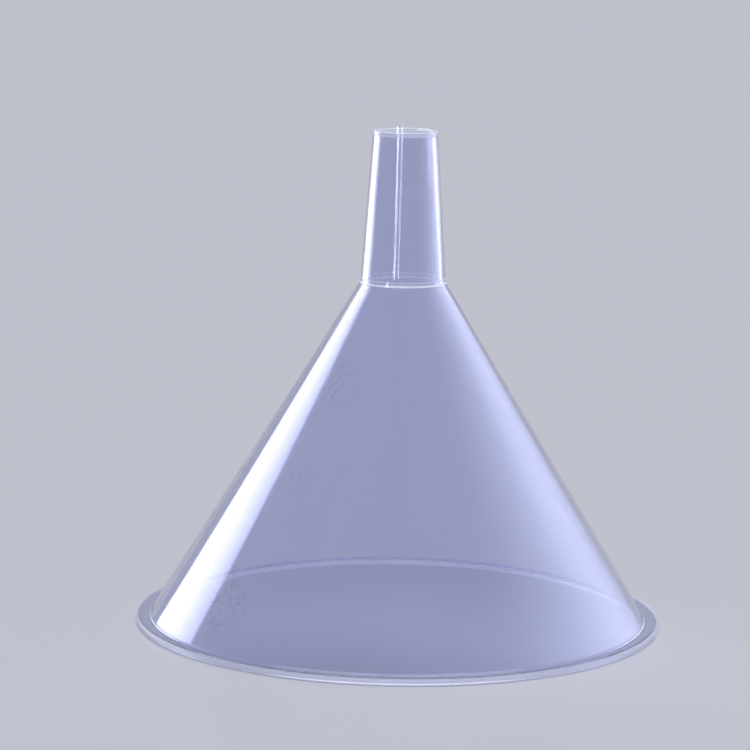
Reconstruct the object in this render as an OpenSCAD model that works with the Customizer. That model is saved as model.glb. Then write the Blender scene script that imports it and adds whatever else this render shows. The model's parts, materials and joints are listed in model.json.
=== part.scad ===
// Clear plastic filling funnel with a long narrow spout, standing on its mouth.
// Millimetres. Z = 0 is the table, and the axis of every round region is Z.
// The real funnel is one moulding. Each region with a job of its own is a closed solid here,
// and neighbours meet face to face on a shared cut, so that the wall is whole from edge to tip.

/* [Mouth flange] */
// Outer diameter of the flange round the mouth
mouth_d = 120; // [100:1:160]
// Width of the flat shelf, from the foot of the cone to the edge of the flange
shelf_w = 3.1; // [2:0.1:8]
// Thickness of the flange
flange_t = 1.5; // [1.2:0.1:3]
// Radius of the rounded corners of the flange's edge
edge_r = 0.4; // [0.1:0.05:0.55]
// Radius of the fillet between the shelf and the cone
foot_r = 0.8; // [0.2:0.1:1.5]

/* [Cone] */
// Height of the cone, from the shelf to its corner with the spout
cone_h = 77.1; // [60:0.1:110]
// Thickness of the cone, measured square to its face
cone_wall = 1; // [0.8:0.1:1.5]

/* [Spout] */
// Outer diameter of the spout at its corner with the cone
spout_d = 19.4; // [16:0.2:26]
// Outer diameter of the spout at its tip
tip_d = 14.6; // [11:0.2:15.8]
// Length of the spout, from its corner with the cone to the tip
spout_l = 34.3; // [20:0.1:60]
// Thickness of the spout, measured square to its face
spout_wall = 1.1; // [0.8:0.1:1.4]

/* [Neck ring] */
// Radius of the fillet outside the corner of cone and spout
neck_r = 1.5; // [0.5:0.1:3]
// Length of the neck ring along each wall, from that corner
neck_reach = 1.5; // [1.4:0.1:4]

/* [Tip lip] */
// Height of the thin lip round the tip
lip_h = 1.1; // [0.6:0.1:3]
// Thickness of the lip at the tip
lip_wall = 0.45; // [0.3:0.05:0.6]

/* [Vent rib] */
// Width of the rib
rib_w = 1.1; // [0.8:0.1:2]
// How far the rib stands out from the spout
rib_out = 0.6; // [0.3:0.1:1]
// Direction of the rib from the axis, in degrees from +X towards +Y
rib_turn = 100; // [0:5:355]
// How far the rib's trimmed end stands above the lip
rib_over = 0.25; // [0:0.05:0.5]

/* [Hidden] */

$fn = 180;
arc_steps = 8; // straight steps in a profile's rounded corner
clear_plastic = [0.74, 0.76, 0.92, 0.5]; // colourless with a cool violet cast
tip_plastic = [0.80, 0.82, 0.95, 0.6]; // the trimmed tip looks a little whiter
rib_plastic = [0.66, 0.68, 0.88, 0.6]; // two walls deep, so a little darker

// Points of a profile are [radius, height].
foot = [mouth_d / 2 - shelf_w, flange_t];
corner = [spout_d / 2, flange_t + cone_h];
tip = [tip_d / 2, corner.y + spout_l];
lip_z = tip.y - lip_h;

// How far each wall leans in from upright, and the step outward square to its face
cone_lean = atan((foot.x - corner.x) / cone_h);
spout_lean = atan((corner.x - tip.x) / spout_l);
cone_out = [cos(cone_lean), sin(cone_lean)];
spout_out = [cos(spout_lean), sin(spout_lean)];

// Radius of a wall's outer and inner face at a height
function cone_face(z) = corner.x + (corner.y - z) * tan(cone_lean);
function cone_bore(z) = cone_face(z) - cone_wall / cos(cone_lean);
function spout_face(z) = corner.x - (z - corner.y) * tan(spout_lean);
function spout_bore(z) = spout_face(z) - spout_wall / cos(spout_lean);

// Points of an arc round a centre, from one angle to another
function arc(centre, r, from, to) =
    [for (i = [0:arc_steps]) let (a = from + (to - from) * i / arc_steps)
        centre + r * [cos(a), sin(a)]];

// The neck ring is cut square to the wall, neck_reach below and above the corner.
neck_low = corner + neck_reach * [sin(cone_lean), -cos(cone_lean)];
neck_high = corner + neck_reach * [-sin(spout_lean), cos(spout_lean)];
neck_low_bore = neck_low - cone_wall * cone_out;
neck_high_bore = neck_high - spout_wall * spout_out;

// The corner inside the wall, where the cone's bore meets the spout's bore
bore_corner_z = corner.y - (cone_wall / cos(cone_lean) - spout_wall / cos(spout_lean))
    / (tan(cone_lean) - tan(spout_lean));
bore_corner = [spout_bore(bore_corner_z), bore_corner_z];

// The fillet outside the corner is tangent to both walls.
neck_tangent = neck_r * tan((cone_lean - spout_lean) / 2);
neck_centre = corner + neck_tangent * [sin(cone_lean), -cos(cone_lean)] + neck_r * cone_out;
neck_arc = arc(neck_centre, neck_r, 180 + cone_lean, 180 + spout_lean);

// The fillet at the foot is tangent to the shelf and the cone.
foot_centre = foot + [foot_r * tan((90 - cone_lean) / 2), foot_r];
edge_low = [mouth_d / 2 - edge_r, edge_r];
edge_high = [mouth_d / 2 - edge_r, flange_t - edge_r];

// The rib runs up from where its outer face leaves the cone.
rib_foot_z = corner.y - rib_out / (tan(cone_lean) - tan(spout_lean));
rib_top_z = tip.y + rib_over;

// A round region: its profile turned about the axis
module turned(profile) {
    rotate_extrude() polygon(profile);
}

// Everything inside the outer face, for cutting what stands on it
module outer_space() {
    turned(concat(
        [[0, foot.y], foot, neck_low],
        neck_arc,
        [neck_high, [spout_face(rib_top_z + lip_h), rib_top_z + lip_h], [0, rib_top_z + lip_h]]
    ));
}

module mouth_flange() {
    color(clear_plastic) turned(concat(
        [[cone_bore(0), 0]],
        arc(edge_low, edge_r, 270, 360),
        arc(edge_high, edge_r, 0, 90),
        arc(foot_centre, foot_r, 270, 180 + cone_lean),
        [foot, [cone_bore(flange_t), flange_t]]
    ));
}

module cone_shell() {
    color(clear_plastic) turned([[cone_bore(flange_t), flange_t], foot, neck_low, neck_low_bore]);
}

module neck_ring() {
    color(clear_plastic) turned(concat(
        [neck_low_bore, neck_low], neck_arc, [neck_high, neck_high_bore, bore_corner]
    ));
}

module spout_tube() {
    color(clear_plastic) turned([
        neck_high_bore, neck_high, [spout_face(lip_z), lip_z], [spout_bore(lip_z), lip_z]
    ]);
}

module tip_lip() {
    color(tip_plastic) turned([
        [tip.x - lip_wall, lip_z], [spout_face(lip_z), lip_z], tip, [tip.x - lip_wall, tip.y]
    ]);
}

module vent_rib() {
    color(rib_plastic) difference() {
        rotate([90, 0, rib_turn]) linear_extrude(rib_w, center = true) polygon([
            [0, rib_foot_z],
            [spout_face(rib_foot_z) + rib_out, rib_foot_z],
            [spout_face(rib_top_z) + rib_out, rib_top_z],
            [0, rib_top_z]
        ]);
        outer_space();
    }
}

mouth_flange();
cone_shell();
neck_ring();
spout_tube();
tip_lip();
vent_rib();
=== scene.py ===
# %% [markdown]
# # A clear plastic filling funnel
#
# The funnel is one injection moulding in clear plastic: a wide flange to stand on, a thin
# straight cone, a rounded neck, a slightly tapered spout, a thin lip where the spout was trimmed,
# and a small rib up the outside of the spout that lets air out of the bottle.
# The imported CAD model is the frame. Every piece made here lies where the CAD says.

import json
import math

import bmesh
import bpy
import numpy as np
from mathutils import Matrix, Vector
from mathutils.bvhtree import BVHTree

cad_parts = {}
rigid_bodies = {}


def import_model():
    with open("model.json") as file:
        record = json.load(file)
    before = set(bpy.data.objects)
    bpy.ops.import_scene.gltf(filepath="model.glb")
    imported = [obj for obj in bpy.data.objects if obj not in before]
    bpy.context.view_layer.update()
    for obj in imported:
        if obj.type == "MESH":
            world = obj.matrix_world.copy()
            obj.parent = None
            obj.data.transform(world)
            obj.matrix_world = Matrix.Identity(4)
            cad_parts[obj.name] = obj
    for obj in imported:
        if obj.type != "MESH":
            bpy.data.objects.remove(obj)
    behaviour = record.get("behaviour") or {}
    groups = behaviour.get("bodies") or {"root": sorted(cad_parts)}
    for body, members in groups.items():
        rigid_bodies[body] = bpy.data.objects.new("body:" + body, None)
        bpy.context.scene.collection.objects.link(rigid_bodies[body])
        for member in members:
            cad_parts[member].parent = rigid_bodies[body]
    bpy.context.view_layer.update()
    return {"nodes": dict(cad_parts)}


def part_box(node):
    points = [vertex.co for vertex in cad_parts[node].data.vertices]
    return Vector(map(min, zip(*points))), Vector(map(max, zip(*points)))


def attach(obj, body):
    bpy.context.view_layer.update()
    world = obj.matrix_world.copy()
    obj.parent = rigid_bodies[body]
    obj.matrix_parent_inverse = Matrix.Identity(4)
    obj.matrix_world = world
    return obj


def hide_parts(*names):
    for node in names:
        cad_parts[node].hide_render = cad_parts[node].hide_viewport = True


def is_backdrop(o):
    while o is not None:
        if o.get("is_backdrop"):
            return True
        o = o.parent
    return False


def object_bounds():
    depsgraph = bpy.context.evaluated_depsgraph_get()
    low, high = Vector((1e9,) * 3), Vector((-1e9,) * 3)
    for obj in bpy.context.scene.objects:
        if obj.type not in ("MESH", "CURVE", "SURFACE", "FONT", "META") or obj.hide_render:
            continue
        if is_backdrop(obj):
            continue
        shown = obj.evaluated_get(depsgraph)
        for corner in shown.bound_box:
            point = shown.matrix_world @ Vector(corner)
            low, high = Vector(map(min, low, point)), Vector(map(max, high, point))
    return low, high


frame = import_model()
MM = 0.001  # the pieces are worked out in millimetres, and the scene is in metres

# %% [markdown]
# ## Where things are in the photograph
#
# A few places in the photograph settle the camera and the small marks.
# They are pixels, x to the right and y down, in a picture of 750 by 750.
# The first four are the outermost edges of the whole funnel.

# %% Image points
W = 750
H = 750
L = max(W, H)
EDGES = {
    "object_left_x": 136.2,
    "object_right_x": 658.2,
    "object_top_y": 126.4,
    "object_bottom_y": 686.7,
}
POINTS = {
    "tip_left": (373.0, 130.0),
    "tip_right": (438.0, 131.5),
    "neck_left": (360.2, 279.5),
    "neck_right": (445.2, 281.0),
    "far_mouth_edge": (378.0, 556.3),
    "rib_at_tip": (400.2, 126.6),
    "rib_at_foot": (394.9, 277.0),
    "gate_nub": (387.0, 286.4),
    "trim_shards": (425.5, 128.4),
    "scuff_low": (224.0, 607.0),
    "scuff_middle": (297.0, 478.0),
    "scuff_high": (335.0, 385.0),
}
print(len(EDGES) + len(POINTS), "image points")

# %% [markdown]
# ## The camera
#
# The photograph was taken with a long lens from a little above the funnel, so the mouth shows
# as a flat ellipse and the tip as a flatter one. The widths of those two ellipses, their
# heights and the slopes of the sides settle the lens, the distance, the height and the aim.
# The camera is turned a little about its own axis too, because the funnel leans in the picture.

# %% Camera
SENSOR = 36.0  # mm
LENS = 148.87  # mm
CAMERA_PLACE = Vector((0.0, -0.6981, 0.1706))  # metres
LOOK_DOWN = math.radians(9.243)
LOOK_LEFT = math.radians(0.491)
ROLL = math.radians(0.933)

camera_data = bpy.data.cameras.new("photo_camera")
camera_data.lens = LENS
camera_data.sensor_width = SENSOR
camera_data.sensor_fit = "AUTO"
camera_data.clip_start = 0.01
camera_data.clip_end = 20.0
camera = bpy.data.objects.new("photo_camera", camera_data)
bpy.context.scene.collection.objects.link(camera)
camera_turn = (
    Matrix.Rotation(LOOK_LEFT, 4, "Z")
    @ Matrix.Rotation(math.radians(90) - LOOK_DOWN, 4, "X")
    @ Matrix.Rotation(ROLL, 4, "Z")
)
camera.matrix_world = Matrix.Translation(CAMERA_PLACE) @ camera_turn
bpy.context.scene.camera = camera
bpy.context.view_layer.update()


def in_picture(place):
    """Where a place in the scene shows, in pixels of the photograph."""
    seen = camera.matrix_world.inverted() @ Vector(place)
    scale = LENS / SENSOR * L / -seen.z
    x = W / 2 + seen.x * scale - camera_data.shift_x * L
    y = H / 2 - seen.y * scale + camera_data.shift_y * L
    return x, y


print("the centre of the mouth shows at", [round(v, 1) for v in in_picture((0, 0, 0))])

# %% [markdown]
# ## The floor
#
# The funnel stands on its mouth on a plain pale floor. The photograph has a black one, so
# there the plastic shows light on dark, and here it shows a little darker than the floor. A
# single large disc is enough, because the camera never sees its edge. A satin paint keeps a
# soft trace of the funnel's light and shade under it.

# %% Floor
FLOOR_Z = -0.00012  # a hair below the flange, so that the two faces don't share a plane
FLOOR_R = 6.0


def colour(r, g, b):
    return (r, g, b, 1.0)


def new_material(name):
    """A node material with nothing in it but its output."""
    material = bpy.data.materials.new(name)
    material.use_nodes = True
    nodes = material.node_tree.nodes
    nodes.clear()
    output = nodes.new("ShaderNodeOutputMaterial")
    return material, nodes, material.node_tree.links, output


floor_mesh = bpy.data.meshes.new("studio_floor")
shape = bmesh.new()
bmesh.ops.create_circle(shape, cap_ends=True, radius=FLOOR_R, segments=96)
shape.to_mesh(floor_mesh)
shape.free()
floor = bpy.data.objects.new("studio_floor", floor_mesh)
floor.location.z = FLOOR_Z
bpy.context.scene.collection.objects.link(floor)
floor_material, nodes, links, output = new_material("pale_satin_floor")
paint = nodes.new("ShaderNodeBsdfPrincipled")
paint.inputs["Base Color"].default_value = colour(0.62, 0.625, 0.655)
paint.inputs["Roughness"].default_value = 0.42
paint.inputs["Specular IOR Level"].default_value = 0.25
links.new(paint.outputs["BSDF"], output.inputs["Surface"])
floor_mesh.materials.append(floor_material)
floor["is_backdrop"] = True
print(f"floor: {2 * FLOOR_R:.0f} m across, {-FLOOR_Z / MM:.2f} mm below the flange")

# %% [markdown]
# ## The lamps
#
# Clear plastic has hardly any colour of its own. What the eye reads is what it mirrors and
# bends, so the light is half of this model. A bright background picture would be one way to
# make it, but area lights can be placed, sized and faded one by one.
#
# A real soft box is a little darker towards its edges, and here each one fades along its two
# sides by a ramp. The light's own Parametric output says how far along it a point is.

# %% Soft box
MIX_A, MIX_B, MIX_RESULT = 6, 7, 2  # a Mix node's two colours in and one out, by number


def fade_ramp(nodes, stops):
    """A ramp node through pairs of place (0 to 1) and brightness, or a tint in its place."""
    ramp = nodes.new("ShaderNodeValToRGB")
    ramp.color_ramp.interpolation = "B_SPLINE"
    elements = ramp.color_ramp.elements
    for place, share in stops[2:]:
        elements.new(place)
    for element, (place, share) in zip(elements, stops):
        element.position = place
        element.color = colour(*share) if isinstance(share, tuple) else colour(share, share, share)
    return ramp


def soft_box(name, corner, across, up, radiance, tint, across_fade, up_fade):
    """A flat soft box from its lower corner and two sides, in metres.

    It shines away from the side that across x up points to. Radiance is its brightness as
    seen, where 1 is white. The fades give the share of it that is left along each side.
    """
    across = Vector(across)
    up = Vector(up)
    light = bpy.data.lights.new(name, "AREA")
    light.shape = "RECTANGLE"
    light.size = across.length
    light.size_y = up.length
    light.color = tint
    light.energy = radiance * math.pi * light.size * light.size_y
    light.use_nodes = True
    nodes = light.node_tree.nodes
    link = light.node_tree.links.new
    face = nodes.new("ShaderNodeNewGeometry")
    split = nodes.new("ShaderNodeSeparateXYZ")
    both = nodes.new("ShaderNodeMix")
    both.data_type = "RGBA"
    both.blend_type = "MULTIPLY"
    both.inputs["Factor"].default_value = 1.0
    link(face.outputs["Parametric"], split.inputs["Vector"])
    for axis, stops, factor in (("X", across_fade, MIX_A), ("Y", up_fade, MIX_B)):
        ramp = fade_ramp(nodes, stops)
        link(split.outputs[axis], ramp.inputs["Fac"])
        link(ramp.outputs["Color"], both.inputs[factor])
    link(both.outputs[MIX_RESULT], nodes["Emission"].inputs["Color"])
    lamp = bpy.data.objects.new(name, light)
    bpy.context.scene.collection.objects.link(lamp)
    x = across.normalized()
    y = up.normalized()
    turn = Matrix((x, y, x.cross(y))).transposed().to_4x4()
    lamp.matrix_world = Matrix.Translation(Vector(corner) + (across + up) / 2) @ turn
    lamp.visible_camera = False
    print(f"{name}: {light.size:.2f} by {light.size_y:.2f} m at brightness {radiance}")
    return lamp


# %% [markdown]
# ## What each lamp lights
#
# Light linking is a lamp's list of what it lights. With it, a strong panel can be mirrored in
# the plastic and still draw no edge on the floor. The other list names what throws a shadow
# in the lamp's light. Clear plastic lets nearly all of it through, but a renderer's shadow
# rays stop at the first wall, so for these panels only the floor stands in the way.

# %% Light linking
in_the_way = bpy.data.collections.new("in_the_way")
in_the_way.objects.link(floor)
EVEN = [(0.0, 1.0), (1.0, 1.0)]


def lit(name, *lamps):
    """A collection of pieces that these lamps light, and nothing else."""
    pieces = bpy.data.collections.new(name)
    for lamp in lamps:
        lamp.light_linking.receiver_collection = pieces
        lamp.light_linking.blocker_collection = in_the_way
    return pieces


# %% [markdown]
# ## The two big panels
#
# The photograph has one tall soft box at the back left. It makes the white stripe down the left
# side, whose right edge fades to lavender. A weaker cool panel at the back right makes the broad
# lavender gleam. Their places follow from the mirror law: the ray from the camera is turned at
# the cone where the stripe begins and ends, and the lamp lies on the turned rays.

# %% Big panels
all_pieces = lit(
    "all_pieces",
    soft_box(
        "left_soft_box",
        corner=(-0.50, 0.65, 0.0), across=(0.0, -0.48, 0.0), up=(0.0, 0.0, 0.42),
        radiance=4.6, tint=(0.97, 0.98, 1.0),
        across_fade=[
            (0.0, 0.6), (0.4, 0.85), (0.7, 1.0), (0.86, (0.85, 0.88, 1.0)), (1.0, (0.55, 0.6, 1.0)),
        ],
        up_fade=EVEN,
    ),
    soft_box(
        "right_cool_panel",
        corner=(0.60, -0.50, 0.0), across=(0.0, 1.8, 0.0), up=(0.0, 0.0, 0.9),
        radiance=3.2, tint=(0.70, 0.74, 1.0),
        across_fade=[(0.0, 0.0), (0.15, 0.15), (0.36, 0.85), (0.5, 1.0), (0.72, 0.35), (1.0, 0.0)],
        up_fade=[(0.0, 0.7), (0.3, 1.0), (0.45, 0.9), (0.75, 0.15), (1.0, 0.0)],
    ),
)

# %% [markdown]
# ## Small lamps for edges and rib
#
# A low strip in front lights the satin edge of the flange, the line round the neck and the
# trimmed tip, which are bright in the photograph. The clear walls don't get it, because they
# would mirror it as a patch that the photograph hasn't got. Two small cards light the vent rib,
# one for each of its sides.

# %% Small lamps
edge_pieces = lit(
    "edge_pieces",
    soft_box(
        "front_strip",
        corner=(-2.2, -1.0, 0.22), across=(4.4, 0.0, 0.0), up=(0.0, 0.05, 0.42),
        radiance=3.4, tint=(0.88, 0.90, 1.0),
        across_fade=[(0.0, 0.0), (0.15, 0.8), (0.5, 1.0), (0.85, 0.8), (1.0, 0.0)],
        up_fade=[(0.0, 0.3), (0.2, 1.0), (0.8, 1.0), (1.0, 0.3)],
    ),
)
rib_pieces = lit(
    "rib_pieces",
    soft_box(
        "left_card",
        corner=(-0.35, 0.34, 0.0), across=(0.0, -0.24, 0.0), up=(0.0, 0.0, 0.16),
        radiance=4.0, tint=(0.80, 0.84, 1.0), across_fade=EVEN, up_fade=EVEN,
    ),
    soft_box(
        "right_card",
        corner=(0.35, 0.08, 0.0), across=(0.0, 0.28, 0.0), up=(0.0, 0.0, 0.16),
        radiance=11.0, tint=(0.95, 0.96, 1.0), across_fade=EVEN, up_fade=EVEN,
    ),
)

# %% [markdown]
# ## Overhead light and room
#
# A broad overhead light and a dim room light everything plainly: the floor gets the funnel's
# soft shadow from them, and a colour renders about as it is written. A sun with a wide angle is
# the simplest even light from above. The Standard view shows colours without a film curve.

# %% Overhead light
overhead = bpy.data.lights.new("overhead_soft_light", "SUN")
overhead.angle = math.radians(60)
overhead.energy = 0.45 * math.pi
overhead.color = (0.97, 0.98, 1.0)
bpy.context.scene.collection.objects.link(bpy.data.objects.new("overhead_soft_light", overhead))

world = bpy.data.worlds.new("dim_room")
bpy.context.scene.world = world
world.use_nodes = True
room = world.node_tree.nodes["Background"]
room.inputs["Color"].default_value = colour(0.86, 0.88, 1.0)
room.inputs["Strength"].default_value = 0.5
bpy.context.scene.view_settings.view_transform = "Standard"
print("lamps:", [light.name for light in bpy.data.lights])

# %% [markdown]
# ## Reading sizes from the CAD
#
# The straight lines of the section are read from the vertices of the CAD nodes, so that a new
# size in the part's source comes through by itself.

# %% Section points
SAME_HEIGHT = 0.02  # mm


def rings(node):
    """(radius, height) of each vertex of a CAD node, in mm."""
    places = np.array([v.co for v in frame["nodes"][node].data.vertices]) / MM
    return np.column_stack([np.hypot(places[:, 0], places[:, 1]), places[:, 2]])


def ring_at(node, height, pick):
    """The widest (pick=max) or narrowest (pick=min) ring of a node at a height."""
    near = [tuple(p) for p in rings(node) if abs(p[1] - height) < SAME_HEIGHT]
    return Vector(pick(near))


def lowest(node):
    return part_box(node)[0].z / MM


def highest(node):
    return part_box(node)[1].z / MM


def narrowest(node):
    return min(tuple(p) for p in rings(node))


print("vertices of the cone in the CAD:", len(rings("cone_shell")))

# %% [markdown]
# ## The section's corners
#
# These are the ends of each straight line of the section, from the mouth up to the tip. The two
# sharp corners that the neck ring rounds off, outside and inside, are found where the lines meet.

# %% Corners of the section
mouth_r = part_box("mouth_flange")[1].x / MM
flange_top = lowest("cone_shell")
bore_foot = ring_at("mouth_flange", 0.0, min)
cone_foot = ring_at("cone_shell", flange_top, max)
cone_foot_bore = ring_at("cone_shell", flange_top, min)
neck_low = ring_at("cone_shell", highest("cone_shell"), max)
neck_low_bore = Vector(narrowest("cone_shell"))
neck_high = ring_at("neck_ring", highest("neck_ring"), max)
neck_high_bore = Vector(narrowest("neck_ring"))
lip_z = lowest("tip_lip")
spout_top = ring_at("spout_tube", lip_z, max)
spout_top_bore = ring_at("spout_tube", lip_z, min)
tip = ring_at("tip_lip", highest("tip_lip"), max)
lip_bore_r = narrowest("tip_lip")[0]
rib_foot_z = lowest("vent_rib")
rib_top_z = highest("vent_rib")
print("mouth radius", round(mouth_r, 2), "tip", tuple(round(x, 2) for x in tip))
print("neck", tuple(round(x, 2) for x in neck_low), tuple(round(x, 2) for x in neck_high))


def meet(a, b, c, d):
    """Where the line a-b meets the line c-d."""
    along = b - a
    other = d - c
    share = (c - a).cross(other) / along.cross(other)
    return a + along * share


corner = meet(cone_foot, neck_low, neck_high, spout_top)
bore_corner = meet(cone_foot_bore, neck_low_bore, neck_high_bore, spout_top_bore)
cone_up = (neck_low - cone_foot).normalized()
cone_out = Vector((cone_up.y, -cone_up.x))
cone_wall = (neck_low - neck_low_bore).length
print("outer corner", tuple(round(x, 2) for x in corner))
print("bore corner", tuple(round(x, 2) for x in bore_corner), "cone wall", round(cone_wall, 3))

# %% [markdown]
# ## Section of the wall
#
# A section is a loop of points, counter-clockwise, with sharp corners rounded by small arcs.
# Each side of the loop is either plastic or a joint. A joint is the imaginary cut between two
# regions of the one moulding: light has to go straight through it, or the neck would seem to be
# glued on.

# %% Rounded loops
EDGE_R = 0.4  # the flange's two outer edges; this and the next ones are in mm
MOUTH_EDGE_R = 0.2  # the flange's inner lower edge
FOOT_R = 0.8  # the hollow fillet between the shelf and the cone
NECK_R = 1.5  # the neck's outside
BORE_CORNER_R = 3.0  # the neck's inside
SHARP_R = 0.12  # every edge that looks sharp
ARC_STEPS = 8


def rounded(points, radii):
    """A loop with its corners rounded. Gives the points and the side that each begins.

    The sides are numbered as the corners they start from, and the arcs have no number.
    """
    loop = []
    for i, (point, r) in enumerate(zip(points, radii)):
        before = points[i - 1]
        after = points[(i + 1) % len(points)]
        if not r:
            loop.append((point, i))
            continue
        back = (before - point).normalized()
        on = (after - point).normalized()
        half = back.angle(on) / 2
        reach = r / math.tan(half)
        centre = point + (back + on).normalized() * (r / math.sin(half))
        start = point + back * reach - centre
        turn = start.angle_signed(point + on * reach - centre)
        for k in range(ARC_STEPS + 1):
            c, s = math.cos(-turn * k / ARC_STEPS), math.sin(-turn * k / ARC_STEPS)
            spoke = Vector((c * start.x - s * start.y, s * start.x + c * start.y))
            loop.append((centre + spoke, i if k == ARC_STEPS else None))
    return loop


def stepped(loop, longest):
    """The same loop with long sides cut into equal steps."""
    rows = []
    for i, (point, side) in enumerate(loop):
        after = loop[(i + 1) % len(loop)][0]
        steps = max(1, math.ceil((after - point).length / longest - 1e-6))
        rows += [(point + (after - point) * k / steps, side) for k in range(steps)]
    return rows


# %% [markdown]
# ## The fillet at the foot
#
# A small hollow fillet joins the shelf of the flange to the cone. The flange is cut from the
# cone square to the wall at the fillet's upper end, so that the cone stays one straight piece.

# %% Foot fillet
cone_lean = math.atan2(-cone_up.x, cone_up.y)
fillet_reach = FOOT_R * math.tan((math.pi / 2 - cone_lean) / 2)
fillet_top = cone_foot + cone_up * fillet_reach
fillet_top_bore = fillet_top - cone_out * cone_wall
print("foot fillet ends at", tuple(round(x, 3) for x in fillet_top))

# %% [markdown]
# ## Turning a section into a piece
#
# Every round piece is a section swept round the axis. Blender's Screw modifier would do it, but
# the pieces have to meet vertex on vertex, follow the same slight ripple that a cooled moulding
# has, and leave a place for the rib, so the vertices are laid out in code. Round the axis, the
# columns are evenly spread but for those under the rib, which keep the rib's own width.

# %% Columns round the axis
# The section is in mm sideways from the rib's middle and mm out from the wall. The left side
# slopes more than the right one, so its bright line is the wider of the two.
RIB_LEFT = [
    (0.76, 0.0), (0.71, 0.025), (0.67, 0.08), (0.61, 0.17), (0.55, 0.27), (0.48, 0.37),
    (0.43, 0.45), (0.37, 0.52), (0.27, 0.575), (0.14, 0.60),
]
RIB_RIGHT = [
    (-0.66, 0.0), (-0.625, 0.03), (-0.60, 0.09), (-0.576, 0.17), (-0.55, 0.27), (-0.525, 0.37),
    (-0.50, 0.45), (-0.45, 0.52), (-0.34, 0.575), (-0.18, 0.60),
]
RIB_SECTION = RIB_RIGHT + [(0.0, 0.603)] + RIB_LEFT[::-1]
RIB_COLUMNS = len(RIB_SECTION)
# a lump on the rib: its height in mm, its share of the rise, and half its length
RIB_KNOT = (corner.y + 2.7, 0.3, 0.35)
EVEN_COLUMNS = 340
COLUMNS = RIB_COLUMNS + EVEN_COLUMNS - 1

rib_places = np.array([v.co for v in frame["nodes"]["vent_rib"].data.vertices])
rib_middle = rib_places[rib_places[:, 2] > rib_places[:, 2].max() - 1e-5].mean(axis=0)
rib_turn = math.atan2(rib_middle[1], rib_middle[0])
print("the rib stands at", round(math.degrees(rib_turn), 2), "degrees")


def column_angles(radius):
    """Angle of each column, from the rib's right root round to its left root and back."""
    sideways = np.array([x for x, y in RIB_SECTION])
    under_rib = np.arcsin(sideways / radius)
    rest = np.linspace(under_rib[-1], 2 * math.pi + under_rib[0], EVEN_COLUMNS + 1)[1:-1]
    return rib_turn + np.concatenate([under_rib, rest])


def ripple(angle, height):
    """How far a wall stands in from its true radius, in mm: the moulding has cooled unevenly."""
    around = 0.5 + 0.5 * np.sin(2 * angle + 0.7 + 0.015 * height)
    along = 0.5 + 0.5 * np.sin(3 * angle - 0.4 + 0.09 * height)
    return 0.002 + 0.018 * around + 0.012 * along


def placed(radius, angle, height):
    """Places in metres, from mm and radians."""
    radius = radius - ripple(angle, height)
    return np.stack([radius * np.cos(angle), radius * np.sin(angle), height + 0 * angle], -1) * MM


# %% [markdown]
# ## The trimmed edge and the rib's rise
#
# The gate of the mould was cut off at the tip with a knife, so the lip's height wanders by a few
# hundredths of a millimetre. Sums of sines give that, and they join up round the circle.
# The rib keeps its outer face in line with the spout, so its rise over the wall is worked out
# from that line, and it fades to nothing where the neck bulges out to meet it.

# %% Trimmed edge and rib height
NO_RISE = 1e-6  # mm; a smaller rise of the rib counts as none


def trimmed(angle, height):
    """Heights of the lip with its trimmed edge: the knife left it uneven."""
    cut = 0.035 * np.sin(5 * angle + 1.1) + 0.03 * np.sin(13 * angle) + 0.02 * np.sin(31 * angle)
    rough = 0.02 * np.sin(67 * angle + 2.0) * np.sin(9 * angle)
    share = np.clip((height - lip_z - 0.3) / (tip.y - lip_z - 0.3), 0, 1)
    return height + share * (cut + rough - 0.05)


def rib_reach(height):
    """How far out from the axis the rib's outer face lies, in mm."""
    share = (height - neck_high.y) / (spout_top.y - neck_high.y)
    return neck_high.x + (spout_top.x - neck_high.x) * share


def rib_rise(radius, height):
    """Height of the rib over the wall in each of its columns, in mm."""
    knot_z, knot_share, knot_half = RIB_KNOT
    knot = knot_share * math.exp(-(((height - knot_z) / knot_half) ** 2))
    full = np.array([y for x, y in RIB_SECTION]) * (1 + knot)
    return np.clip(full + rib_reach(height) - radius, 0, None)


def under_rib(row, after, column):
    """True where the rib covers the wall between two rows and two columns."""
    if column >= RIB_COLUMNS - 1:
        return False
    rises = np.concatenate([rib_rise(*end[0])[column:column + 2] for end in (row, after)])
    return rises.max() > NO_RISE


print("the rib rises", round(rib_rise(spout_top.x, spout_top.y).max(), 3), "mm at the foot of the lip")

# %% [markdown]
# ## The sweep
#
# Each point of a section becomes one ring of vertices, and two rings make one band of faces.
# Bands that lie on a joint, and the faces under the rib, go into the second material slot.
# The shading is smooth but for real corners, which are marked sharp by their angle.

# %% Sweep
CORNER_ANGLE = math.radians(38)  # a steeper edge than this is a corner and is shaded sharp


def swept(name, rows, joints, rib_side=None, edge=None):
    """A closed piece from a section. Its joint sides take the second material slot."""
    places = []
    for point, side in rows:
        angle = column_angles(point.x)
        height = np.full_like(angle, point.y)
        if edge:
            height = edge(angle, height)
        places.append(placed(point.x, angle, height))
    mesh = bpy.data.meshes.new(name)
    count = len(rows)
    faces = []
    joint_faces = []
    for j in range(count):
        after = (j + 1) % count
        for c in range(COLUMNS):
            d = (c + 1) % COLUMNS
            covered = rows[j][1] == rib_side and under_rib(rows[j], rows[after], c)
            joint_faces.append(rows[j][1] in joints or covered)
            faces.append([j * COLUMNS + c, j * COLUMNS + d, after * COLUMNS + d, after * COLUMNS + c])
    mesh.from_pydata(np.concatenate(places).tolist(), [], faces)
    return finished(mesh, name, joint_faces)


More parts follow.
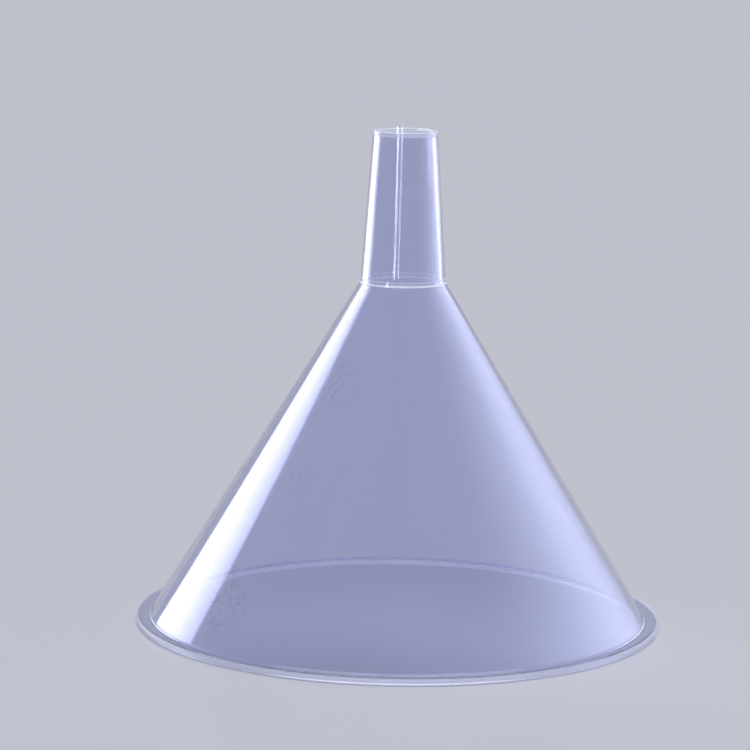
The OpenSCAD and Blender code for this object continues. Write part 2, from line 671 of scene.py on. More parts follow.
def finished(mesh, name, joint_faces):
    """Smooth shading, sharp edges and slots, and the piece put in the scene."""
    for face, is_joint in zip(mesh.polygons, joint_faces):
        face.use_smooth = not is_joint
        face.material_index = int(is_joint)
    mesh.set_sharp_from_angle(angle=CORNER_ANGLE)
    mesh.validate()
    piece = bpy.data.objects.new(name, mesh)
    bpy.context.scene.collection.objects.link(piece)
    all_pieces.objects.link(piece)
    print(f"{name}: {len(mesh.vertices)} vertices, {len(mesh.polygons)} faces")
    return piece


# %% [markdown]
# ## Mouth flange
#
# The flange is what the funnel stands on, and what it hangs by in a rack. It is a flat ring
# with rounded corners. A bevelled cylinder would do for the ring but not for the fillet and the
# slanting bore, so it is a rounded loop with the fillet put in place of one corner.

# %% Mouth flange
FLANGE_STEP = 1.5  # mm, the longest step along the section
flange_loop = rounded(
    [
        bore_foot, Vector((mouth_r, 0.0)), Vector((mouth_r, flange_top)), cone_foot,
        fillet_top, fillet_top_bore,
    ],
    [MOUTH_EDGE_R, EDGE_R, EDGE_R, 0, 0, 0],
)
# the fillet replaces the corner between the shelf and the cone
shelf_end = Vector((cone_foot.x + fillet_reach, flange_top))
fillet_centre = Vector((shelf_end.x, flange_top + FOOT_R))
fillet = []
for k in range(ARC_STEPS + 1):
    a = math.radians(270) - (math.radians(90) - cone_lean) * k / ARC_STEPS
    fillet.append((fillet_centre + FOOT_R * Vector((math.cos(a), math.sin(a))), None))
at = [i for i, (p, side) in enumerate(flange_loop) if p == cone_foot][0]
flange_loop = flange_loop[:at] + fillet[:-1] + flange_loop[at + 1:]
mouth = swept("mouth_flange_moulding", stepped(flange_loop, FLANGE_STEP), joints={4})

# %% [markdown]
# ## Cone
#
# The cone's section is a thin slanting strip. Its long sides are cut into short steps, because
# the ripple that a cooled moulding has needs vertices along the wall to show on.

# %% Cone
CONE_STEP = 2.2
cone_loop = [(fillet_top, 0), (neck_low, 1), (neck_low_bore, 2), (fillet_top_bore, 3)]
cone = swept("cone_moulding", stepped(cone_loop, CONE_STEP), joints={1, 3})

# %% [markdown]
# ## Neck
#
# Where cone turns into spout, the outside has a fillet and the inside a wider one, so that what
# is poured doesn't catch. Both are corners of the loop, rounded by their own radius.

# %% Neck
NECK_STEP = 0.2
neck_loop = rounded(
    [neck_low, corner, neck_high, neck_high_bore, bore_corner, neck_low_bore],
    [0, NECK_R, 0, 0, BORE_CORNER_R, 0],
)
outside = [side for p, side in neck_loop].index(2)
neck_loop = [(p, 0) for p, side in neck_loop[:outside]] + neck_loop[outside:]
neck_rows = stepped(neck_loop, NECK_STEP)
neck = swept("neck_moulding", neck_rows, joints={2, 5}, rib_side=0)

# %% [markdown]
# ## Spout
#
# The spout tapers a little, so that the moulding leaves its core and the tip enters a bottle.
# It ends in a narrow ledge inside the lip, with a small rounded corner.

# %% Spout
SPOUT_STEP = 0.6
spout_loop = rounded(
    [neck_high, spout_top, Vector((lip_bore_r, lip_z)), spout_top_bore, neck_high_bore],
    [0, 0, 0, SHARP_R, 0],
)
spout_rows = stepped(spout_loop, SPOUT_STEP)
spout = swept("spout_moulding", spout_rows, joints={1, 4}, rib_side=0)

# %% [markdown]
# ## Trimmed lip
#
# The lip is the thin ring left round the tip when the gate was cut away. It is swept as the
# rest is, and its top rows follow the trimmed edge.

# %% Trimmed lip
LIP_STEP = 0.15
lip_loop = rounded(
    [spout_top, tip, Vector((lip_bore_r, tip.y)), Vector((lip_bore_r, lip_z))],
    [0, SHARP_R, SHARP_R, 0],
)
lip_rows = stepped(lip_loop, LIP_STEP)
lip = swept("tip_lip_moulding", lip_rows, joints={3}, rib_side=0, edge=trimmed)

# %% [markdown]
# ## Vent rib
#
# The rib keeps the spout from sealing a bottle's neck, so that air can leave. A box along the
# spout would be quick, but it would cut through the wall and show as a second body inside the
# plastic. Here its back uses the very places of the wall under it, and that back is a joint.
# Above the lip it stands free, and its end is cut rough.

# %% Rib sheets
def outer_rows(rows):
    """The rows of a section's first side."""
    return [row for row in rows if row[1] == 0]


RIB_TOP_STEPS = 3
RIB_CUT = 0.06  # mm that the rib's cut end is uneven by
rib_axis = np.array([math.cos(rib_turn), math.sin(rib_turn), 0.0])
arc_start = lip_rows[len(outer_rows(lip_rows))][0]
rib_stations = [row[0] for row in outer_rows(neck_rows) + outer_rows(spout_rows) + outer_rows(lip_rows)]
rib_stations.append(arc_start)
backs = []
fronts = []
for station in rib_stations:
    angle = column_angles(station.x)[:RIB_COLUMNS]
    height = trimmed(angle, np.full(RIB_COLUMNS, station.y))
    back = placed(station.x, angle, height)
    backs.append(back)
    fronts.append(back + rib_rise(station.x, station.y)[:, None] * rib_axis * MM)
trim = np.random.default_rng(5)
uneven = trim.uniform(-RIB_CUT, 0.0, RIB_COLUMNS) * MM
for k in range(1, RIB_TOP_STEPS + 1):
    share = k / RIB_TOP_STEPS
    for side in (backs, fronts):
        top = side[len(rib_stations) - 1].copy()
        top[:, 2] += share * (rib_top_z * MM + uneven - top[:, 2])
        side.append(top)
print("each sheet of the rib has", len(backs), "rows of", RIB_COLUMNS, "places")

# %% [markdown]
# ## Closing the rib
#
# The back sheet and the front sheet have the same grid. Where the rise is nothing they share
# their places, so after a weld by distance the two sheets are one closed skin. The open edges
# are counted, because a gap would let the light leak and make the rib look solid.

# %% Rib mesh
rows_in_rib = len(backs)
covers = len(rib_stations) - 1  # bands of the rib that lie on the wall
faces = []
joint_faces = []
for j in range(rows_in_rib - 1):
    for c in range(RIB_COLUMNS - 1):
        if j < covers:
            here, above = rib_stations[j], rib_stations[j + 1]
            if not under_rib((here, 0), (above, 0), c):
                continue
        ends = [j * RIB_COLUMNS + c, j * RIB_COLUMNS + c + 1]
        tops = [v + RIB_COLUMNS for v in ends]
        shift = rows_in_rib * RIB_COLUMNS
        faces.append([ends[0], tops[0], tops[1], ends[1]])
        joint_faces.append(j < covers)
        faces.append([v + shift for v in (ends[0], ends[1], tops[1], tops[0])])
        joint_faces.append(False)
last = (rows_in_rib - 1) * RIB_COLUMNS
for c in range(RIB_COLUMNS - 1):
    faces.append([last + c, last + shift + c, last + shift + c + 1, last + c + 1])
    joint_faces.append(False)

rib_mesh = bpy.data.meshes.new("vent_rib_moulding")
rib_mesh.from_pydata(np.concatenate(backs + fronts).tolist(), [], faces)
for face, is_joint in zip(rib_mesh.polygons, joint_faces):
    face.material_index = int(is_joint)
weld = bmesh.new()
weld.from_mesh(rib_mesh)
bmesh.ops.remove_doubles(weld, verts=weld.verts, dist=1e-7)
bmesh.ops.delete(weld, geom=[v for v in weld.verts if not v.link_faces], context="VERTS")
weld.to_mesh(rib_mesh)
open_edges = sum(1 for e in weld.edges if len(e.link_faces) != 2)
weld.free()
print("open edges of the rib:", open_edges)
rib = finished(rib_mesh, "vent_rib_moulding", [p.material_index == 1 for p in rib_mesh.polygons])

# %% [markdown]
# ## Placing the small marks
#
# A ray from the camera through an image point finds the place on the part under it. The tree
# is made from the finished pieces, and a ray that misses takes the place nearest to it.

# %% Ray to the part
SEARCH = 0.1  # metres before and behind the funnel's middle, for a ray that misses it
SEARCH_STEPS = 401


def tree_of(pieces):
    """A search tree of finished pieces, in place."""
    depsgraph = bpy.context.evaluated_depsgraph_get()
    corners = []
    faces = []
    for piece in pieces:
        shown = piece.evaluated_get(depsgraph)
        mesh = shown.to_mesh()
        start = len(corners)
        corners += [shown.matrix_world @ v.co for v in mesh.vertices]
        faces += [[start + i for i in p.vertices] for p in mesh.polygons]
        shown.to_mesh_clear()
    return BVHTree.FromPolygons(corners, faces)


def on_part(x, y, pieces):
    """Where an image point meets the pieces, and the face's direction there."""
    shift_x = camera_data.shift_x
    shift_y = camera_data.shift_y
    ray = Vector((x - W / 2 + shift_x * L, H / 2 - y + shift_y * L, -L * LENS / SENSOR))
    start = camera.matrix_world.translation
    way = (camera.matrix_world.to_3x3() @ ray).normalized()
    tree = tree_of(pieces)
    place, normal = tree.ray_cast(start, way)[:2]
    if place is None:
        reach = ((Vector(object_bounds()[0]) + Vector(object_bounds()[1])) / 2 - start).length
        along = np.linspace(reach - SEARCH, reach + SEARCH, SEARCH_STEPS)
        near = [tree.find_nearest(start + way * t) for t in along]
        place, normal = min(near, key=lambda hit: hit[3])[:2]
    return place, normal


nub_place, nub_normal = on_part(*POINTS["gate_nub"], [neck, spout])
shard_place = on_part(*POINTS["trim_shards"], [lip])[0]
SCUFFS = ("scuff_low", "scuff_middle", "scuff_high")
scuff_places = [on_part(*POINTS[name], [cone])[0] for name in SCUFFS]
print("gate nub at, mm:", [round(v / MM, 2) for v in nub_place])
print("trim shards at, mm:", [round(v / MM, 2) for v in shard_place])

# %% [markdown]
# ## Gate nub
#
# A little knob of plastic was left on the neck's corner, and it catches the light. It is five
# overlapping rounded bumps with an uneven outline, sunk a little into the wall.

# %% Gate nub
BUMP_RINGS = 9
BUMP_SPOKES = 20
BUMP_WOBBLE = (0.82, 1.12)  # shares of a bump's radius
BUMP_TALL = 1.5  # a bump's height over its width
SUNK = 0.06  # mm that a bump's foot lies inside the wall


def lump(name, place, normal, bumps, seed):
    """A low knob of torn plastic on a face: a few overlapping rounded bumps on one base.

    Each bump is (right, up, radius, rise) in mm, seen square to the face.
    """
    normal = Vector(normal).normalized()
    right = Vector((0, 0, 1)).cross(normal).normalized()
    up = normal.cross(right)
    rough = np.random.default_rng(seed)
    mesh = bpy.data.meshes.new(name)
    shape = bmesh.new()
    for x, y, radius, rise in bumps:
        wobble = rough.uniform(*BUMP_WOBBLE, BUMP_SPOKES)
        loops = []
        for k in range(BUMP_RINGS):
            t = k / BUMP_RINGS * math.pi / 2
            loop = []
            out = rise * math.sin(t) - (SUNK if k == 0 else 0.0)
            for i in range(BUMP_SPOKES):
                a = i / BUMP_SPOKES * 2 * math.pi
                r = radius * math.cos(t) * wobble[i]
                spot = right * (x + r * math.cos(a)) + up * (y + BUMP_TALL * r * math.sin(a))
                loop.append(shape.verts.new(Vector(place) + (spot + normal * out) * MM))
            loops.append(loop)
        for low, high in zip(loops, loops[1:]):
            for i in range(BUMP_SPOKES):
                j = (i + 1) % BUMP_SPOKES
                shape.faces.new((low[i], low[j], high[j], high[i]))
        shape.faces.new(loops[0][::-1])
        shape.faces.new(loops[-1])
    shape.to_mesh(mesh)
    shape.free()
    return finished(mesh, name, [False] * len(mesh.polygons))


nub = lump(
    "gate_nub", nub_place, nub_normal,
    [
        (0.0, 0.0, 0.26, 0.30), (0.04, 0.50, 0.17, 0.22), (0.16, 0.98, 0.13, 0.14),
        (-0.40, -0.12, 0.14, 0.10), (0.42, -0.05, 0.15, 0.10),
    ],
    seed=3,
)

# %% [markdown]
# ## Trim shards
#
# Beside the rib the knife has torn the lip, and a ragged film with a few teeth leans inward
# from it. It is a thin closed strip along the lip, flat shaded, so that its facets glint.

# %% Trim shards
FILM_HALF_TURN = math.radians(17)
FILM_STEPS = 60
FILM_FOOT = 0.55  # where the film begins, above the lip's ledge; this and the next are in mm
FILM_RISE = 0.34  # how far the teeth reach up
FILM_LEAN = 0.75  # how far they lean in
FILM_RING = 5  # points of the film's own section
FILM_TEETH = 9.5  # the teeth's wave from the film's middle to its end, in radians
TOOTH_POWER = 1.4  # a higher one gives narrower teeth
TOOTH_LEFT = (0.45, 1.0)  # the share of a tooth that the knife left


def torn_strip(name, middle, seed):
    """A thin torn film along the inside of the lip, from which a row of teeth leans inward."""
    rough = np.random.default_rng(seed)
    turn = math.atan2(middle.y, middle.x)
    angle = np.linspace(turn - FILM_HALF_TURN, turn + FILM_HALF_TURN, FILM_STEPS)
    along = np.linspace(-1, 1, FILM_STEPS)
    envelope = np.clip(1 - along ** 2, 0, 1) ** 0.6
    wave = np.abs(np.sin(along * FILM_TEETH + 0.6)) ** TOOTH_POWER
    teeth = wave * rough.uniform(*TOOTH_LEFT, FILM_STEPS)
    foot = lip_z + FILM_FOOT
    top = np.clip(tip.y - 0.08 + FILM_RISE * envelope * teeth, None, rib_top_z - 0.01)
    inner = lip_bore_r - 0.10 - FILM_LEAN * envelope * teeth
    thick = 0.05 + 0.10 * envelope
    verts = []
    for i in range(FILM_STEPS):
        spots = [
            (lip_bore_r + 0.05, foot), (lip_bore_r - 0.04, foot + 0.1), (inner[i], top[i]),
            (inner[i] + thick[i], top[i] + 0.01), (lip_bore_r + 0.10, tip.y - 0.10),
        ]
        for r, z in spots:
            verts.append((r * math.cos(angle[i]) * MM, r * math.sin(angle[i]) * MM, z * MM))
    faces = []
    for i in range(FILM_STEPS - 1):
        here = i * FILM_RING
        after = here + FILM_RING
        for k in range(FILM_RING):
            m = (k + 1) % FILM_RING
            faces.append([here + m, after + m, after + k, here + k])
    faces.append(list(reversed(range(FILM_RING))))
    faces.append(list(range(len(verts) - FILM_RING, len(verts))))
    mesh = bpy.data.meshes.new(name)
    mesh.from_pydata(verts, [], faces)
    piece = finished(mesh, name, [False] * len(faces))
    for face in mesh.polygons:
        face.use_smooth = False
    return piece


shards = torn_strip("trim_shards", shard_place, seed=8)

# %% [markdown]
# ## Wiring a material
#
# A material is a net of nodes. Typing out each node and each link hides what the net does, so
# a small class has one method for each thing that the finishes need: sums, noise, scattered
# cells, a smooth band and a bump in millimetres. Everything is laid out by the Object
# coordinate, which is in metres and needs no unwrapping.

# %% Wiring
class Wiring:
    """Makes and joins the nodes of one material."""

    def __init__(self, name):
        self.material, self.nodes, self.links, self.output = new_material(name)
        self.place = self.nodes.new("ShaderNodeTexCoord").outputs["Object"]

    def join(self, value, socket):
        """Sets a socket, or joins it to another node's output."""
        if isinstance(value, bpy.types.NodeSocket):
            self.links.new(value, socket)
        else:
            socket.default_value = value

    def sum_node(self, kind, operation, values):
        node = self.nodes.new(kind)
        node.operation = operation
        for value, socket in zip(values, node.inputs):
            self.join(value, socket)
        return node.outputs

    def math(self, operation, *values):
        return self.sum_node("ShaderNodeMath", operation, values)["Value"]

    def vector(self, operation, *values):
        """A vector from vectors, such as their sum."""
        return self.sum_node("ShaderNodeVectorMath", operation, values)["Vector"]

    def measure(self, operation, *values):
        """A number from vectors, such as the distance between two."""
        return self.sum_node("ShaderNodeVectorMath", operation, values)["Value"]

    def mixed(self, share, first, second):
        """A colour between two colours."""
        node = self.nodes.new("ShaderNodeMix")
        node.data_type = "RGBA"
        for value, socket in ((share, 0), (first, MIX_A), (second, MIX_B)):
            self.join(value, node.inputs[socket])
        return node.outputs[MIX_RESULT]

    def noise(self, place, scale, detail=2.0):
        """Soft noise: the node, whose outputs are a number and a colour."""
        node = self.nodes.new("ShaderNodeTexNoise")
        node.inputs["Scale"].default_value = scale
        node.inputs["Detail"].default_value = detail
        self.join(place, node.inputs["Vector"])
        return node

    def cells(self, place, scale):
        """Scattered spots: the Voronoi node, and a number of its own for each spot."""
        node = self.nodes.new("ShaderNodeTexVoronoi")
        node.inputs["Scale"].default_value = scale
        self.join(place, node.inputs["Vector"])
        own = self.nodes.new("ShaderNodeSeparateColor")
        self.links.new(node.outputs["Color"], own.inputs["Color"])
        return node, own.outputs["Red"]

    def wavy(self, place, scale, reach):
        """The same place moved about by noise, which bends whatever is laid out by it."""
        noise = self.noise(place, scale)
        shift = self.vector("SUBTRACT", noise.outputs["Color"], (0.5, 0.5, 0.5))
        return self.vector("ADD", place, self.vector("MULTIPLY", shift, (reach, reach, reach)))

    def band(self, value, low, high):
        """0 below low, 1 above high and smooth between; the other way round if low > high."""
        node = self.nodes.new("ShaderNodeMapRange")
        node.interpolation_type = "SMOOTHSTEP"
        node.inputs["From Min"].default_value = low
        node.inputs["From Max"].default_value = high
        self.join(value, node.inputs["Value"])
        return node.outputs["Result"]

    def bump(self, height_mm):
        """A bump whose height is in millimetres."""
        node = self.nodes.new("ShaderNodeBump")
        node.inputs["Strength"].default_value = 1.0
        node.inputs["Distance"].default_value = MM
        self.join(height_mm, node.inputs["Height"])
        return node.outputs["Normal"]


# %% [markdown]
# ## Handling marks
#
# The photograph shows three places where the cone was scuffed: small specks and short hair
# scratches that cross each other. Noise lines look like contours of a map, so each scratch is
# a short cut instead, one to a Voronoi cell, turned by the cell's own random colour and bent a
# little by noise.

# %% Scuffs and scratches
SCUFF_R = (0.0085, 0.006, 0.007)  # metres round each scuffed place
SCUFF_DEPTH = (1.0, 0.75, 0.65)  # how strongly each one is marked
BEND = 0.7  # how far noise moves a scratch, in cells
BEND_SCALE = 1.6  # waves of that noise to a cell


def scuffed(w):
    """How strongly the funnel was scuffed in use: up to 1, and 0 away from the scuffs."""
    mask = 0.0
    for place, reach, depth in zip(scuff_places, SCUFF_R, SCUFF_DEPTH):
        near = w.band(w.measure("DISTANCE", w.place, place), reach, 0.5 * reach)
        mask = w.math("MAXIMUM", mask, w.math("MULTIPLY", near, depth))
    return mask


def scratched(w, scale, width, often):
    """Short bent scratches, one to a Voronoi cell, each lying its own way.

    A scratch is where a plane through the cell's middle cuts the wall. Its width is in cells.
    """
    place = w.wavy(w.place, BEND_SCALE * scale, BEND / scale)
    cell, own = w.cells(place, scale)
    way = w.vector("SUBTRACT", cell.outputs["Color"], (0.5, 0.5, 0.5))
    away = w.vector("SUBTRACT", place, cell.outputs["Position"])
    from_middle = w.vector("MULTIPLY", away, (scale, scale, scale))
    across = w.measure("DOT_PRODUCT", from_middle, w.vector("NORMALIZE", way))
    line = w.band(w.math("ABSOLUTE", across), width, 0.0)
    ends = w.band(cell.outputs["Distance"], 0.5, 0.25)
    chosen = w.band(own, 1.0 - often, 1.02 - often)
    return w.math("MULTIPLY", w.math("MULTIPLY", line, ends), chosen)


print("scuffed places:", len(scuff_places))

# %% [markdown]
# ## Clear plastic
#
# The plastic is one Principled shader with nearly full transmission and the index of clear
# plastic, with a faint violet cast in its base colour. Glass BSDF would do for the render as
# well. Flow streaks, scratches, specks and grain are one height map for the bump. The marks also
# darken the colour a little, which is painted shade: on a pale ground a mark in clear plastic
# scatters light away and shows darker than what is behind it.

# %% Clear plastic
STREAK_SCALE = 22.0  # on a unit circle, so about one streak to each 16 degrees
STREAK_RISE = 2.5  # how much the streaks change over a metre of height
TONE_SCALE = 5.0  # on the same circle
HAIRS = ((520.0, 0.07), (330.0, 0.055), (190.0, 0.03))  # cells to a metre, and width in cells
HAIR_SHARE = 0.9  # the share of the cells in a scuff that have a hair scratch
LONG_HAIRS = (75.0, 0.012, 0.10)  # cells to a metre, width in cells and share of the cells
LONG_HAIR_DEPTH = 0.4
SPECK_SCALE = 700.0  # cells to a metre
SPECK_SIZE = (0.21, 0.10)  # where a speck ends and where it is full, in cells
SPECK_SHARE = (0.985, 0.995)  # a cell whose own number is above these has a speck
SPECKS_IN_SCUFF = 0.75  # added to that number inside a scuff
GRAIN_SCALE = 2600.0
TONE_DARK = 0.97  # the darker tone of the plastic, as a share of its colour
MARK_PAINTED_SHADE = 0.35  # the darkest mark, likewise
SCRATCH_PAINTED_SHADE = 0.6
SPECK_PAINTED_SHADE = 0.3
PLASTIC_IOR = 1.49


def clear_plastic(name, base, roughness, transmission, marks):
    """Clear plastic with fine marks, as one Principled shader.

    Marks are the heights, in mm, of flow streaks, hair scratches, specks and fine grain.
    """
    streak_mm, scratch_mm, speck_mm, grain_mm = marks
    w = Wiring(name)
    around = w.vector("NORMALIZE", w.vector("MULTIPLY", w.place, (1.0, 1.0, 0.0)))
    slow_rise = w.vector("MULTIPLY", w.place, (0.0, 0.0, STREAK_RISE))
    along_wall = w.vector("ADD", around, slow_rise)
    streaks = w.noise(along_wall, STREAK_SCALE, 4.0).outputs["Fac"]

    worn = scuffed(w)
    hairs = 0.0
    for scale, width in HAIRS:
        hairs = w.math("MAXIMUM", hairs, scratched(w, scale, width, HAIR_SHARE))
    fine = w.math("MULTIPLY", hairs, worn)
    long_ones = w.math("MULTIPLY", scratched(w, *LONG_HAIRS), LONG_HAIR_DEPTH)
    scratches = w.math("MAXIMUM", fine, long_ones)

    spot, own = w.cells(w.place, SPECK_SCALE)
    often = w.math("ADD", own, w.math("MULTIPLY", worn, SPECKS_IN_SCUFF))
    dot = w.band(spot.outputs["Distance"], *SPECK_SIZE)
    specks = w.math("MULTIPLY", dot, w.band(often, *SPECK_SHARE))
    grain = w.noise(w.place, GRAIN_SCALE, 3.0).outputs["Fac"]

    height = w.math("MULTIPLY", streaks, streak_mm)
    for mark, size in ((scratches, -scratch_mm), (specks, speck_mm), (grain, grain_mm)):
        height = w.math("ADD", height, w.math("MULTIPLY", mark, size))

    tone = w.noise(along_wall, TONE_SCALE).outputs["Fac"]
    toned = w.mixed(tone, colour(*base), colour(*(TONE_DARK * c for c in base)))
    # painted shade: the scratches and specks darken the colour, standing in for the light they scatter
    # away
    scratch_painted_shade = w.math("MULTIPLY", scratches, SCRATCH_PAINTED_SHADE)
    speck_painted_shade = w.math("MULTIPLY", specks, SPECK_PAINTED_SHADE)
    painted_mark_shade = w.math("MAXIMUM", scratch_painted_shade, speck_painted_shade)
    marks_with_painted_shade = w.mixed(painted_mark_shade, toned, colour(*(MARK_PAINTED_SHADE * c for c in base)))

    plastic = w.nodes.new("ShaderNodeBsdfPrincipled")
    plastic.inputs["Transmission Weight"].default_value = transmission
    plastic.inputs["IOR"].default_value = PLASTIC_IOR
    plastic.inputs["Roughness"].default_value = roughness
    w.links.new(marks_with_painted_shade, plastic.inputs["Base Color"])
    w.links.new(w.bump(height), plastic.inputs["Normal"])
    w.links.new(plastic.outputs["BSDF"], w.output.inputs["Surface"])
    print(f"{name}: {len(w.nodes)} nodes")
    return w.material


# %% [markdown]
# ## The funnel's finishes
#
# The walls are polished. The flange's edge is duller, because the halves of the mould meet
# there, and what the knife cut is whitish. The lines round the neck and the rib's sides are duller too,
# and whiter and less clear, which is painted highlight: they show as bright lines, the rib's left side
# brighter than its right.
# The four heights are streaks, hair scratches, specks and grain, in millimetres.

# %% Finishes
VIOLET = (0.77, 0.785, 0.935)
FINISHES = {
    # its colour, roughness and transmission, and the four heights
    "clear_funnel": (VIOLET, 0.03, 0.96, (0.003, 0.005, 0.02, 0.0)),
    "clear_spout": (VIOLET, 0.03, 0.97, (0.009, 0.008, 0.04, 0.0)),
    "clear_flange": (VIOLET, 0.03, 0.99, (0.0015, 0.006, 0.02, 0.0)),
    # the flange's satin edge; on the neck the same finish is a painted highlight, the faint second line
    "satin_edge_and_painted_highlight": ((0.85, 0.86, 0.99), 0.38, 0.68, (0.003, 0.0, 0.02, 0.002)),
    # painted highlight: a whiter, less clear band that shows as the bright line round the neck
    "painted_neck_highlight": ((0.92, 0.93, 1.0), 0.35, 0.55, (0.003, 0.0, 0.02, 0.002)),
    "thin_lip": ((0.84, 0.85, 0.95), 0.12, 0.88, (0.010, 0.010, 0.03, 0.002)),
    "rib_face": ((0.90, 0.91, 0.99), 0.12, 0.97, (0.004, 0.0, 0.02, 0.003)),
    # painted highlight: the rib's sides are whiter and less clear than its face, the left one most, as
    # the lines of light along them
    "rib_left_side_painted_highlight": ((0.97, 0.97, 1.0), 0.35, 0.10, (0.02, 0.0, 0.03, 0.006)),
    "rib_right_side_painted_highlight": ((0.90, 0.91, 1.0), 0.35, 0.55, (0.02, 0.0, 0.03, 0.006)),
    # whitened torn plastic for the gate nub and the shards; on the rib's lump it is a painted highlight
    "torn_white_and_painted_highlight": ((1.0, 1.0, 1.0), 0.35, 0.08, (0.0, 0.0, 0.0, 0.010)),
    "knife_cut": ((0.93, 0.93, 0.99), 0.40, 0.40, (0.02, 0.01, 0.01, 0.010)),
}
finish = {name: clear_plastic(name + "_plastic", *values) for name, values in FINISHES.items()}

# %% [markdown]
# ## The joint in the moulding
#
# Two pieces that meet on a cut have two faces there, and glass on both would mirror and bend the
# light as a crack does. A Transparent shader on those faces lets it go straight through, so the
# pieces look like one moulding.

# %% Joint
joint, nodes, links, output = new_material("joint_in_the_moulding")
through = nodes.new("ShaderNodeBsdfTransparent")
links.new(through.outputs["BSDF"], output.inputs["Surface"])
print("materials:", len(bpy.data.materials))

# %% [markdown]
# ## Putting it together
#
# Each piece stands for the CAD node of its region, which is hidden and stays in the checks.
# Nothing on the funnel moves, so all of them ride on the one body.

# %% Put together
PARTS = (
    (mouth, "mouth_flange", "clear_flange", "clear_plastic"),
    (cone, "cone_shell", "clear_funnel", "clear_plastic"),
    (neck, "neck_ring", "clear_flange", "clear_plastic"),
    (spout, "spout_tube", "clear_spout", "clear_plastic"),
    (lip, "tip_lip", "thin_lip", "trimmed_plastic"),
    (rib, "vent_rib", "rib_face", "clear_plastic"),
)
for piece, node, look, slot in PARTS:
    piece.data.materials.append(finish[look])
    piece.data.materials.append(joint)
    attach(piece, "root")
    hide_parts(node)

for piece, slot in ((nub, "clear_plastic"), (shards, "trimmed_plastic")):
    piece.data.materials.append(finish["torn_white_and_painted_highlight"])
    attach(piece, "root")

# %% [markdown]
# ## Dull and whitened faces, and painted highlights
#
# Some faces of a piece have their own finish. They are picked by where they lie and which way
# they face, never by number, so the choice holds when a size changes in the part's source.

# %% Faces with their own finish
# the neck's bright line and its faint second line are painted highlights, bands of their own finish
LINE_HALF = 0.2  # mm above and below the neck's corner that the bright line takes up
SECOND_LINE = (0.75, 0.1)  # mm from the corner to the faint second line, and half its width
RIB_SIDE = 0.7  # a rib face that looks sideways by more than this is part of a side
CUT_UP = 0.3  # a face of a cut end looks up by more than this

# the knife left the lip's end and the ledge inside it rough
for piece, low in ((lip, tip.y - SHARP_R - 0.1), (spout, lip_z - SHARP_R)):
    piece.data.materials.append(finish["knife_cut"])
    for face in piece.data.polygons:
        if face.material_index == 0 and face.center.z > low * MM and face.normal.z > CUT_UP:
            face.material_index = 2

# the flange's edge was left satin where the two halves of the mould meet. The line round the
# neck's outside corner and a faint second line above it are painted highlights: bands of whiter, less
# clear plastic that show as bright lines
mouth.data.materials.append(finish["satin_edge_and_painted_highlight"])
for face in mouth.data.polygons:
    if face.material_index == 0 and face.center.xy.length > (mouth_r - EDGE_R) * MM:
        face.material_index = 2
neck.data.materials.append(finish["painted_neck_highlight"])
neck.data.materials.append(finish["satin_edge_and_painted_highlight"])
for face in neck.data.polygons:
    above = face.center.z / MM - corner.y
    if face.material_index == 0 and face.normal.xy.dot(face.center.xy) > 0:
        if abs(above) < LINE_HALF:
            face.material_index = 2
        elif abs(above - SECOND_LINE[0]) < SECOND_LINE[1]:
            face.material_index = 3

# the rib's two sides are duller than its face, and whiter and less clear as painted highlights, the
# left one most; the lump on it is whitened as a painted highlight
rib_across = Vector((-math.sin(rib_turn), math.cos(rib_turn)))
for look in ("rib_left_side_painted_highlight", "rib_right_side_painted_highlight", "torn_white_and_painted_highlight"):
    rib.data.materials.append(finish[look])
for face in rib.data.polygons:
    sideways = face.normal.xy.dot(rib_across)
    if face.material_index == 0 and abs(sideways) > RIB_SIDE:
        face.material_index = 2 if sideways > 0 else 3
    # painted highlight: the lump on the rib is whitened so that it shows as a bright point
    if face.material_index != 1 and abs(face.center.z / MM - RIB_KNOT[0]) < RIB_KNOT[2]:
        face.material_index = 4

for piece in (mouth, neck, lip, nub, shards):
    edge_pieces.objects.link(piece)
rib_pieces.objects.link(rib)
for piece in (mouth, neck, spout, lip, rib):
    used = [face.material_index for face in piece.data.polygons]
    print(piece.name, "faces by slot:", [used.count(i) for i in range(max(used) + 1)])

# %% [markdown]
# ## Where each thing shows
#
# The finished vertices are put through the camera and set against the image points. The script
# prints how far in x and y each thing lies from its point, and nothing stops on it.

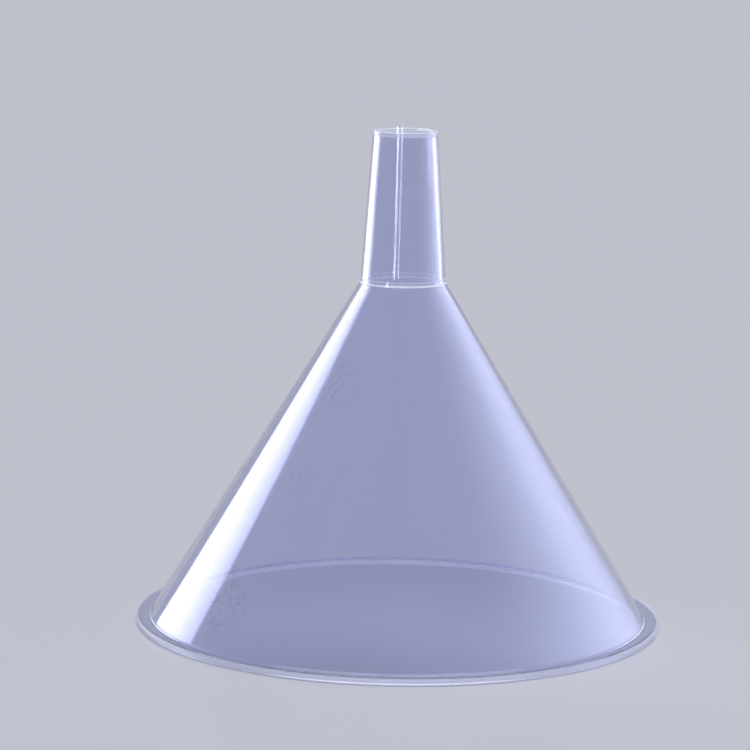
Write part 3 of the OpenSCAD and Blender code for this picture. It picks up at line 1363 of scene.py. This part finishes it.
# %% Where each thing shows
def pixels(piece, keep=None):
    """Where a piece's vertices show in the photograph. The plastic is clear, so all of them do."""
    places = [piece.matrix_world @ v.co for v in piece.data.vertices]
    return np.array([in_picture(place) for place in places if keep is None or keep(place / MM)])


def middle(spots):
    return (spots.min(axis=0) + spots.max(axis=0)) / 2


def far_edge(spots, x):
    """The highest spot near a column of the picture."""
    near = spots[np.abs(spots[:, 0] - x) < 4]
    return x, near[:, 1].min()


everything = np.concatenate([pixels(piece) for piece in all_pieces.objects])
tip_spots = pixels(lip, lambda place: place.z > tip.y - 0.4)
neck_spots = pixels(neck, lambda place: abs(place.z - corner.y) < 0.3)
edge_spots = pixels(mouth, lambda place: place.xy.length > mouth_r - 0.5 and place.y > 0)
shown = {
    "tip_left": tip_spots[tip_spots[:, 0].argmin()],
    "tip_right": tip_spots[tip_spots[:, 0].argmax()],
    "neck_left": neck_spots[neck_spots[:, 0].argmin()],
    "neck_right": neck_spots[neck_spots[:, 0].argmax()],
    "far_mouth_edge": far_edge(edge_spots, POINTS["far_mouth_edge"][0]),
    "rib_at_tip": middle(pixels(rib, lambda place: place.z > rib_top_z - 0.1)),
    "rib_at_foot": middle(pixels(rib, lambda place: place.z < rib_foot_z + 0.6)),
    "gate_nub": middle(pixels(nub)),
    "trim_shards": middle(pixels(shards)),
}
away = {
    name: (shown[name][0] - x, shown[name][1] - y)
    for name, (x, y) in POINTS.items() if name in shown
}
for name, place in zip(SCUFFS, scuff_places):
    away[name] = tuple(a - b for a, b in zip(in_picture(place), POINTS[name]))
away["object_left_x"] = (everything[:, 0].min() - EDGES["object_left_x"], 0.0)
away["object_right_x"] = (everything[:, 0].max() - EDGES["object_right_x"], 0.0)
away["object_top_y"] = (0.0, everything[:, 1].min() - EDGES["object_top_y"])
away["object_bottom_y"] = (0.0, everything[:, 1].max() - EDGES["object_bottom_y"])
away = {name: [round(float(v), 2) for v in pair] for name, pair in away.items()}
for name, pair in away.items():
    print(f"{name}: {pair[0]} across, {pair[1]} down")
